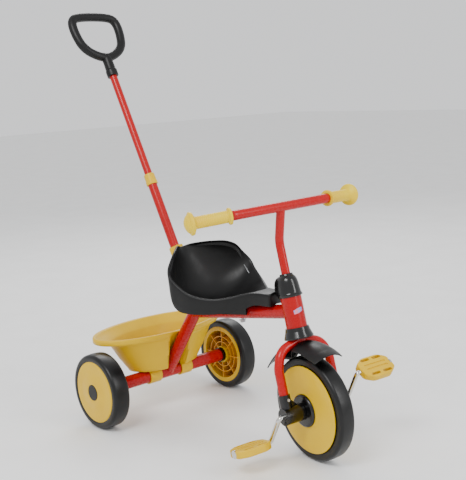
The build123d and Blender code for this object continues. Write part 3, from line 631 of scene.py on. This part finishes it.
def makeRails():
    """Walls under the bowl that straddle the main tube."""
    bm = bmesh.new()
    outline = [(180, mainTubeZ(180) - 2), (330, mainTubeZ(330) - 4), (330, 326), (318, 320),
               (285, 304), (245, 293), (205, 290), (180, 295)]
    upright = Matrix.Rotation(math.radians(90), 4, "X")
    for side in (-1, 1):
        wall = bmesh.new()
        prism(wall, outline, -seatShape["railHalf"], seatShape["railHalf"], 1.2, 3)
        place = Matrix.Translation((0, side * seatShape["railAt"], 0)) @ upright
        bmesh.ops.transform(wall, matrix=place, verts=wall.verts)
        gather(bm, wall)
    return finishMesh(bm, "seatRails", "frame", "black", ground)


def makeSlotHighlight(side, word):
    """Painted highlight: a pale zinc bar standing in for the line of light on the edge of a belt slot."""
    low, high = (seatPoint(u, side * seatShape["slotSide"]) for u in seatShape["slots"])
    bm = bmesh.new()
    bmesh.ops.create_cube(bm, size=1)
    bmesh.ops.scale(bm, vec=(2.2, 2.2, (high - low).length), verts=bm.verts)
    bmesh.ops.bevel(bm, geom=bm.edges, offset=0.7, affect="EDGES", segments=3, profile=0.5, material=-1)
    rotation = Vector((0, 0, 1)).rotation_difference(high - low).to_matrix().to_4x4()
    bmesh.ops.transform(bm, matrix=Matrix.Translation((low + high) / 2) @ rotation, verts=bm.verts)
    # the zinc bar is a painted highlight, not a fitted part
    finishMesh(bm, f"beltSlotPaintedHighlight.{word}", "frame", "zinc", ground)


makeRails()
# pale zinc bars on the bowl paint the highlight along each belt slot's edge
for side, word in ((-1, "right"), (1, "left")):
    makeSlotHighlight(side, word)
print("seat done")


# bin
def ringOf(bm, x, halfX, halfY, z):
    made = bmesh.ops.create_circle(bm, cap_ends=False, radius=1, segments=tub["segments"])
    verts = made["verts"]
    bmesh.ops.scale(bm, vec=(halfX, halfY, 1), verts=verts)
    bmesh.ops.translate(bm, vec=(x, 0, z), verts=verts)
    return list({e for v in verts for e in v.link_edges})


def makeBin():
    w = tub["wall"]
    bx, by = tub["brim"]
    m, top, lip, shelf, floor = (tub[key] for key in ("middle", "top", "lip", "shelf", "floor"))
    half = (floor + shelf) / 2
    # each ring: x of its middle, half length, half width, height
    rings = [
        (-18, 20, 34, floor), (-18, 54, 93, floor), (-18, 59, 99, floor + 2), (-18, 60.5, 101, floor + 6),
        (-18.5, 69, 125, half), (-19, 76, 147, shelf - 2), (-20, 78, 150, shelf + 0.5),
        (-26, 84, 168, shelf + 9), (m, bx - 4, by - 4, top - lip + 8), (m, bx - 2.6, by - 2.6, top - lip + 1),
        (m, bx - 1.3, by - 1.3, top - lip), (m, bx, by, top - lip + 1.5), (m, bx, by, top - 3.5),
        (m, bx - 1.2, by - 1.2, top - 1), (m, bx - 4, by - 4, top), (m, bx - 7.5, by - 7.5, top - 0.8),
        (m + 1, bx - 10, by - 11, top - 3.4), (-26, 84 - w, 168 - w, shelf + 10),
        (-20, 78 - w, 150 - w, shelf + 2.5), (-19, 75.5 - w, 146 - w, shelf - 2),
        (-18.5, 69 - w, 125 - w, half), (-18, 60.5 - w, 101 - w, floor + 9),
        (-18, 57 - w, 97 - w, floor + w + 1.2), (-18, 50, 89, floor + w), (-18, 20, 34, floor + w),
    ]
    innerStart = tub["segments"] * 16
    bm = bmesh.new()
    loops = [ringOf(bm, *ring) for ring in rings]
    for a, b in zip(loops, loops[1:]):
        bmesh.ops.bridge_loops(bm, edges=a + b)
    bmesh.ops.edgeloop_fill(bm, edges=loops[0])
    bmesh.ops.edgeloop_fill(bm, edges=loops[-1])
    # the front wall steps back where the sloping strut passes
    for vert in bm.verts:
        x, y, z = vert.co
        along = (z - tricycle["rearRadius"]) * strutDirection.x / strutDirection.z
        limit = along - (tub["tubeRadius"] + tub["tubeClearance"]) / strutDirection.z
        if z > floor + w * 0.9 and vert.index >= innerStart:
            limit -= w
        width = fade(abs(y), 19, 28)
        if x > limit and width > 0:
            vert.co.x = x + (limit - x) * width
    return finishMesh(bm, "binTub", "bin", "yellow", ground, ["bucket"], 50)


def makeClips():
    """Straps from the tub that wrap the rear axle tube, which the bin tips on."""
    bm = bmesh.new()
    inner, outer = tub["strap"]
    half = tub["strapHalf"]
    section = rounded([(inner, -half), (outer, -half), (outer, half), (inner, half)], [0.8] * 4, 3)
    turned = Matrix.Rotation(math.radians(115), 4, "Y") @ Matrix.Rotation(math.radians(90), 4, "X")
    for side in (-1, 1):
        strap = bmesh.new()
        lathe(strap, section, 40, True, 250.0)
        place = Matrix.Translation((0, side * tub["strapAt"], tricycle["rearRadius"])) @ turned
        bmesh.ops.transform(strap, matrix=place, verts=strap.verts)
        gather(bm, strap)
    return finishMesh(bm, "binStraps", "bin", "yellow", ground)


makeBin()
makeClips()
print("bin done")


# mudguard
def guardPoint(angle, across):
    """Point on the guard: angle round the wheel, and across from -1 to 1."""
    turnAt = math.degrees(angle)
    m = mudguard
    x = math.sin(angle) * m["radius"] + tricycle["forkOffset"]
    inChannel = fade(abs(x), m["channel"] - 1.6, m["channel"] + 1.6)
    radius = m["radius"] + (m["saddle"] - m["radius"]) * inChannel
    tip = max(0.0, (turnAt / m["front"] if turnAt > 0 else -turnAt / m["rear"]) - 0.8) / 0.2
    half = m["half"] * (1 - 0.05 * tip)
    radius += 2.0 * tip
    r = radius - m["drop"] * across * across
    return Vector((math.sin(angle) * r + tricycle["forkOffset"], across * half, math.cos(angle) * r))


def makeMudguard():
    bm = bmesh.new()
    bmesh.ops.create_grid(bm, x_segments=160, y_segments=28, size=1)
    low, high = -math.radians(mudguard["rear"]), math.radians(mudguard["front"])
    for vert in bm.verts:
        angle = low + (high - low) * (vert.co.x + 1) / 2
        vert.co = guardPoint(angle, vert.co.y)
    bmesh.ops.recalc_face_normals(bm, faces=bm.faces)
    if sum(f.normal.z * f.calc_area() for f in bm.faces) < 0:
        bmesh.ops.reverse_faces(bm, faces=bm.faces)
    bmesh.ops.solidify(bm, geom=bm.faces, thickness=mudguard["wall"])
    sharp = [e for e in bm.edges if len(e.link_faces) == 2 and e.calc_face_angle() > 1.1]
    bmesh.ops.bevel(bm, geom=sharp, offset=0.8, affect="EDGES", segments=3, profile=0.5, material=-1)
    return finishMesh(bm, "mudguardShell", "steering", "black", steerFrame, ["fender"], 45)


makeMudguard()


# head cap
def hullRing(bm, z, front, back, lobe):
    """Closed ring: a half circle in front, drawn out to a narrower lobe behind."""
    made = bmesh.ops.create_circle(bm, cap_ends=False, radius=1, segments=96)
    for vert in made["verts"]:
        c, s = vert.co.x, vert.co.y
        reach, width = (front, front) if c >= 0 else (back, front + (lobe - front) * -c)
        vert.co = Vector((c * reach, s * width, z))
    return list({e for v in made["verts"] for e in v.link_edges})


def makeCap():
    boxLow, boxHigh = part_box("head_cap")
    corner = headFrame.inverted() @ Vector(((boxLow.x + boxHigh.x) / 2, 0, boxHigh.z))
    # each ring: height, half width in front, reach of the lobe behind, half width of the lobe
    rings = [
        (239.3, 25.5, 25.5, 25.5), (240.2, 26, 26, 26), (242.4, 26, 26, 26), (243.2, 25, 33, 23),
        (246, 24, 38.5, 22.5), (254, 23.2, 38.5, 22), (262, 22.2, 37, 21.2), (268, 20.8, 34, 19.6),
        (272, 18.6, 29.5, 17.2), (274.8, 15.6, 22, 14.6), (275.8, 14.4, 15, 14.2), (277.6, 14.2, 14.2, 14.2),
        (278.6, 13.4, 13.4, 13.4), (278.6, 10.9, 10.9, 10.9), (250, 10.9, 10.9, 10.9),
    ]
    base = rings[0][0]
    scale = (corner.z - 4 - base) / (rings[-2][0] - base)
    bm = bmesh.new()
    loops = [hullRing(bm, base + (z - base) * scale, front, back, lobe) for z, front, back, lobe in rings]
    for a, b in zip(loops, loops[1:]):
        bmesh.ops.bridge_loops(bm, edges=a + b)
    return finishMesh(bm, "headCapCover", "frame", "blackGloss", headFrame, ["head_cap"], 40)


makeCap()


# grips
def makeGrip(side, word):
    """Sleeve with a flange, turned ridges and a wide domed end."""
    sweep = math.radians(grip["sweep"])
    out = Vector((-math.sin(sweep), side * math.cos(sweep), 0))
    middle = grip["middle"]
    rotation = Vector((0, 0, 1)).rotation_difference(out).to_matrix().to_4x4()
    place = steerFrame @ Matrix.Translation((middle[0], side * grip["start"], middle[2])) @ rotation
    length, bore, flange, end = (grip[key] for key in ("length", "bore", "flange", "end"))
    points = [(bore, 6.0), (flange, 6.0), (flange, 11.0), (13.0, 12.2)]
    sizes = [0.4, 1.6, 1.6, 0.8]
    pitch = (length - 26) / grip["ribs"]
    for k in range(grip["ribs"]):
        at = 14 + k * pitch
        points += [(grip["valley"], at), (grip["ridge"], at + pitch * 0.3), (grip["ridge"], at + pitch * 0.7)]
        sizes += [0.2, 0.5, 0.5]
    points += [
        (12.4, length - 12), (15, length - 9), (end - 0.6, length - 5), (end, length - 2),
        (end, length + 0.5), (20, length + 3), (19.2, length + 3.2), (17.6, length + 5.8),
        (15, length + 8), (13.6, length + 8.3), (9, length + 11.4), (0.4, length + 13),
        (0.4, length - 4), (bore, length - 5),
    ]
    sizes += [0.5, 2, 1, 1, 1, 1, 0.4, 1, 1, 0.4, 3, 0, 0, 0.4]
    turnedPiece(f"gripSleeve.{word}", "steering", "lemon", place, points, sizes, 80,
                [f"grip_{word}"], 3)


for side, word in ((-1, "right"), (1, "left")):
    makeGrip(side, word)
print("grips done")


# pedals
def pedalOutline():
    length, width = pedal["length"] / 2, pedal["width"] / 2
    corners = [(-width, -length + 20), (-width + 13, -length), (width - 13, -length), (width, -length + 20),
               (width, length - 20), (width - 13, length), (-width + 13, length), (-width, length - 20)]
    return [tuple(p) for p in rounded(corners, [7] * 8, 5)]


def slotOutline(x, y, length=24, width=7):
    corners = [(x - width / 2, y - length / 2), (x + width / 2, y - length / 2),
               (x + width / 2, y + length / 2), (x - width / 2, y + length / 2)]
    return [tuple(p) for p in rounded(corners, [3.4] * 4, 5)]


def solidFrom(bm, name):
    """Object that holds a mesh only while the pedal is cut."""
    mesh = bpy.data.meshes.new(name)
    bm.to_mesh(mesh)
    bm.free()
    obj = bpy.data.objects.new(name, mesh)
    bpy.context.scene.collection.objects.link(obj)
    return obj


def rod(radius, depth, shift):
    """Round cutter along the pedal's pin."""
    bm = bmesh.new()
    bmesh.ops.create_cone(bm, cap_ends=True, segments=48, radius1=radius, radius2=radius, depth=depth)
    bmesh.ops.rotate(bm, cent=(0, 0, 0), matrix=Matrix.Rotation(math.radians(90), 3, "X"), verts=bm.verts)
    bmesh.ops.translate(bm, vec=(0, shift, 0), verts=bm.verts)
    return bm


def makePedal(side, word):
    """Block with four slots through it, two grooves in each face and a bore for its pin."""
    lean = math.radians(tricycle["crankLean"])
    cx, cz = tricycle["crankLength"] * math.sin(lean), tricycle["crankLength"] * math.cos(lean)
    middle = Vector((side * cx, side * (pedal["inner"] + pedal["length"] / 2), side * cz))
    tilt = Matrix.Rotation(math.radians(pedal["tilt"][word]), 4, "Y")
    place = wheelFrame @ Matrix.Translation(middle) @ tilt
    half = pedal["height"] / 2
    bm = bmesh.new()
    prism(bm, pedalOutline(), -half, half, 3.2, 5)
    solid = solidFrom(bm, "pedalBody")
    cutters = bmesh.new()
    cuts = [(slotOutline(x, y), -half - 2, half + 2) for x in (-20.5, 20.5) for y in (-16, 16)]
    for x in (-5.5, 5.5):
        groove = slotOutline(x, 0, 58, 4.4)
        cuts += [(groove, half - 1.6, half + 1), (groove, -half - 1, -half + 1.6)]
    for outline, low, high in cuts:
        part = bmesh.new()
        prism(part, outline, low, high)
        gather(cutters, part)
    gather(cutters, rod(pedal["pin"], 2 * pedal["length"], 0))
    bmesh.ops.recalc_face_normals(cutters, faces=cutters.faces)
    pocket = rod(10, 10, side * pedal["length"] / 2)
    tools = [solidFrom(cutters, "pedalCutters"), solidFrom(pocket, "pedalPocket")]
    for tool in tools:
        modifier = solid.modifiers.new("cut", "BOOLEAN")
        modifier.operation = "DIFFERENCE"
        modifier.solver = "EXACT"
        modifier.use_self = True
        modifier.object = tool
    depsgraph = bpy.context.evaluated_depsgraph_get()
    result = bpy.data.meshes.new_from_object(solid.evaluated_get(depsgraph))
    bm = bmesh.new()
    bm.from_mesh(result)
    for obj in [solid] + tools:
        bpy.data.objects.remove(obj)
    return finishMesh(bm, f"pedalBlock.{word}", f"{word}_pedal", "yellow", place,
                      [f"pedal_{word}"], 30)


for side, word in ((-1, "right"), (1, "left")):
    makePedal(side, word)
print("pedals done")


# push bar handle and collar
def smoothLoop(corners, passes):
    """Closed line through the corners with every corner cut back again and again until it is smooth."""
    line = [Vector(corner) for corner in corners]
    for _ in range(passes):
        line = [p for a, b in zip(line, line[1:] + line[:1]) for p in (a.lerp(b, 0.25), a.lerp(b, 0.75))]
    return line


def makeHandle():
    """Rounded ring swept round a smooth closed line, on a socket over the push bar."""
    low = handle["low"]
    half = [(-17, low), (-56, low + 24), (-67, low + 64), (-66, low + 104), (-42, low + 115)]
    path = smoothLoop(half + [(-x, y) for x, y in reversed(half)], handle["pathPasses"])
    curve = bpy.data.curves.new("handleRing", "CURVE")
    curve.dimensions = "3D"
    curve.bevel_depth = handle["radius"] / 1000
    curve.bevel_resolution = 8
    curve.twist_mode = "Z_UP"
    spline = curve.splines.new("POLY")
    spline.points.add(len(path) - 1)
    spline.use_cyclic_u = True
    for point, target in zip(spline.points, path):
        world = pushFrame @ Vector((0, target.x, target.y))
        point.co = (*world, 1)
    ring = bpy.data.objects.new("handleRing", curve)
    bpy.context.scene.collection.objects.link(ring)
    depsgraph = bpy.context.evaluated_depsgraph_get()
    mesh = bpy.data.meshes.new_from_object(ring.evaluated_get(depsgraph))
    bm = bmesh.new()
    bm.from_mesh(mesh)
    bpy.data.objects.remove(ring)
    finishMesh(bm, "handleGrip", "push_bar_top", "black", Matrix.Identity(4), ["push_handle"], 60)
    s = handle["socketLow"]
    points = [(9.4, s), (14.2, s), (14.4, s + 16), (13, s + 18), (12.2, s + 40), (13.2, s + 50),
              (9, s + 58), (2, s + 58), (2, s + 13), (9.4, s + 13)]
    turnedPiece("handleSocket", "push_bar_top", "black", pushFrame, points,
                [0.5, 1.4, 1.0, 1.5, 6, 4, 2, 0, 0, 0], 72)


def makeCollar():
    low, bore, tubeBore = collar["low"], collar["bore"], collar["tubeBore"]
    points = [(tubeBore, low), (14.0, low), (14.2, low + 8), (13.2, low + 10.4), (13.2, low + 24),
              (12.4, low + 28), (bore, low + 28), (bore, low + 8.4), (tubeBore, low + 8.4)]
    turnedPiece("collarSleeve", "collar", "yellow", pushFrame, points,
                [0.4, 1.2, 1.2, 1.5, 2, 1.2, 0.4, 0, 0], 72, ["clamp_collar"])


makeHandle()
makeCollar()
print("push bar done")


# plain colour patch on the head tube
def makePatch():
    """Thin printed patch with soft blue and pink areas and no writing."""
    material, tree, shader, place = newMaterial("printedVinylPatch")
    spots = noise(tree, place, 150.0, 2.0)
    share = ramp(tree, spots.outputs["Fac"], 0.0, 1.0, 0.45, 0.55)
    tint = blendColours(tree, share, linear(colours["blue"]), linear(colours["pink"]))
    tree.links.new(tint, shader.inputs["Base Color"])
    shader.inputs["Roughness"].default_value = 0.35
    materials["patch"] = material
    bm = bmesh.new()
    bmesh.ops.create_grid(bm, x_segments=24, y_segments=6, size=1)
    for vert in bm.verts:
        across, up = vert.co.x, vert.co.y
        soft = math.sqrt(1 - 0.35 * across * across)
        angle = math.radians(patch["turn"] + patch["spread"] * across)
        height = patch["middle"] + up * patch["half"] * soft + patch["tilt"] * across
        vert.co = Vector((patch["radius"] * math.cos(angle), patch["radius"] * math.sin(angle), height))
    return finishMesh(bm, "headTubePatch", "frame", "patch", headFrame)


makePatch()

# finishes for the pieces kept as they are
kept = {
    "powderCoat": ["main_tube", "rear_strut", "axle_tube", "push_bar_socket", "head_tube", "fork_crown",
                   "fork_leg_left", "fork_leg_right", "handlebar_tube", "handlebar_stem", "push_bar_lower",
                   "push_bar_upper"],
    "blackGloss": ["head_collar", "head_bush_lower", "head_bush_upper", "fork_boot_left", "fork_boot_right",
                   "crank_bush_left", "crank_bush_right", "axle_bush_left", "axle_bush_right"],
    "black": ["hub_cap_left", "hub_cap_right"],
    "yellow": ["bar_clip"],
    "chrome": ["crank_axle", "pedal_nuts"],
    "zinc": ["rear_axle", "rear_push_nuts", "seat_bolt", "fork_screws", "fender_screw"],
}
for key, names in kept.items():
    for name in names:
        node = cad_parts[name]
        node.data.materials.clear()
        node.data.materials.append(materials[key])
print("finishes done")


# floor, light and camera
def makeStage():
    material, tree, shader, place = newMaterial("paintedStudioFloor")
    spots = noise(tree, place, 6.0, 3.0)
    share = ramp(tree, spots.outputs["Fac"], 0.0, 1.0)
    tint = blendColours(tree, share, linear(colours["floor"]), linear(colours["floorShade"]))
    tree.links.new(tint, shader.inputs["Base Color"])
    shader.inputs["Roughness"].default_value = 0.7
    mesh = bpy.data.meshes.new("studioFloor")
    bm = bmesh.new()
    bmesh.ops.create_grid(bm, x_segments=4, y_segments=4, size=14)
    bmesh.ops.translate(bm, vec=(0, 0, -0.0006), verts=bm.verts)
    bm.to_mesh(mesh)
    bm.free()
    floor = bpy.data.objects.new("studioFloor", mesh)
    bpy.context.scene.collection.objects.link(floor)
    mesh.materials.append(material)
    world = bpy.data.worlds.new("studioAir")
    bpy.context.scene.world = world
    world.use_nodes = True
    air = world.node_tree.nodes["Background"]
    air.inputs["Color"].default_value = (0.98, 0.985, 1.0, 1)
    air.inputs["Strength"].default_value = view["air"]


def areaLight(name, place, target, size, power):
    data = bpy.data.lights.new(name, "AREA")
    data.shape = "RECTANGLE"
    data.size, data.size_y = size
    data.energy = power
    light = bpy.data.objects.new(name, data)
    bpy.context.scene.collection.objects.link(light)
    light.location = place
    light.rotation_euler = (Vector(target) - Vector(place)).to_track_quat("-Z", "Y").to_euler()


def makeCamera():
    data = bpy.data.cameras.new("studioCamera")
    data.sensor_width = view["sensor"]
    data.sensor_fit = "HORIZONTAL"
    data.lens = view["lens"]
    data.clip_start = 0.05
    data.clip_end = 60
    camera = bpy.data.objects.new("studioCamera", data)
    bpy.context.scene.collection.objects.link(camera)
    ahead = Vector((tricycle["originAhead"], 0, 0))
    eye, aim = ((Vector(view[key]) - ahead) / 1000 for key in ("eye", "aim"))
    camera.location = eye
    camera.rotation_mode = "QUATERNION"
    roll = Matrix.Rotation(math.radians(view["roll"]), 4, "Z").to_quaternion()
    camera.rotation_quaternion = (aim - eye).to_track_quat("-Z", "Y") @ roll
    bpy.context.scene.camera = camera


makeStage()
centre = (0.0, 0.0, 0.35)
areaLight("keySoftbox", (0.9, -2.0, 2.6), centre, (1.4, 1.0), 60)
areaLight("sideStrip", (2.4, 0.6, 1.5), centre, (0.5, 1.6), 24)
areaLight("rearFill", (-1.9, 1.6, 2.2), centre, (1.6, 1.2), 34)
makeCamera()
print("stage done")
